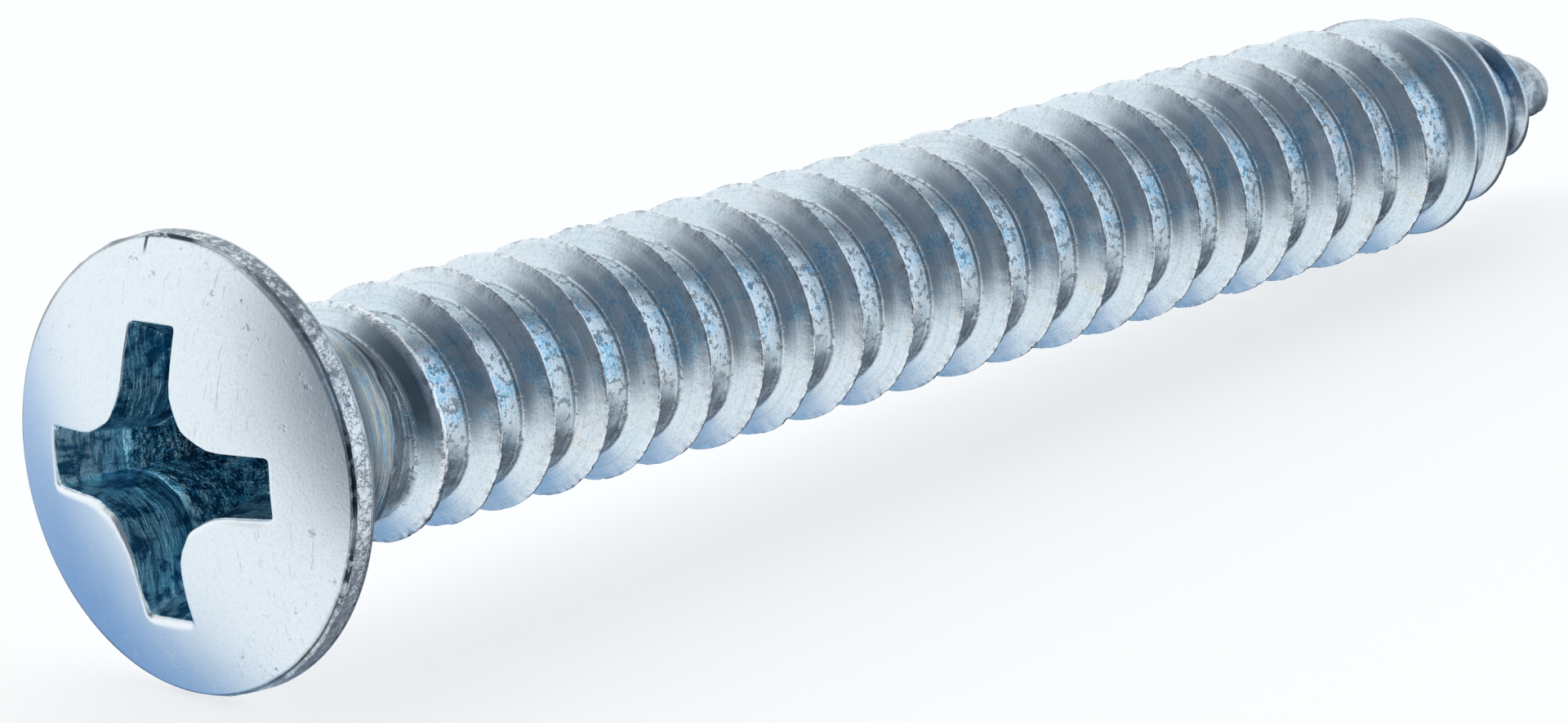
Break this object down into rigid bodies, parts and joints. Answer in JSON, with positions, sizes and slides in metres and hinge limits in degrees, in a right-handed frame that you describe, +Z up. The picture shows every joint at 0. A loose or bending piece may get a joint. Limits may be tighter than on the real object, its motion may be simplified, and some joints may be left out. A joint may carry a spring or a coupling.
{
  "type": "raised countersunk screw",
  "caption": "Raised countersunk head screw with a cross recess, a sharp spaced thread along its whole shank and a cone point.",
  "frame": {"origin": "on the screw's axis in the seat plane, where the countersink cone meets the head's narrow rim", "axes": "+X along the screw's axis, from the head towards the tip; +Z up as the screw lies on its side"},
  "size_m": [0.0512, 0.0108, 0.0108],
  "materials": {
    "zinc_plated_steel": "satin bright zinc plate with a faint blue tint"
  },
  "bodies": {
    "root": {"screw": "zinc_plated_steel"}
  },
  "joints": []
}
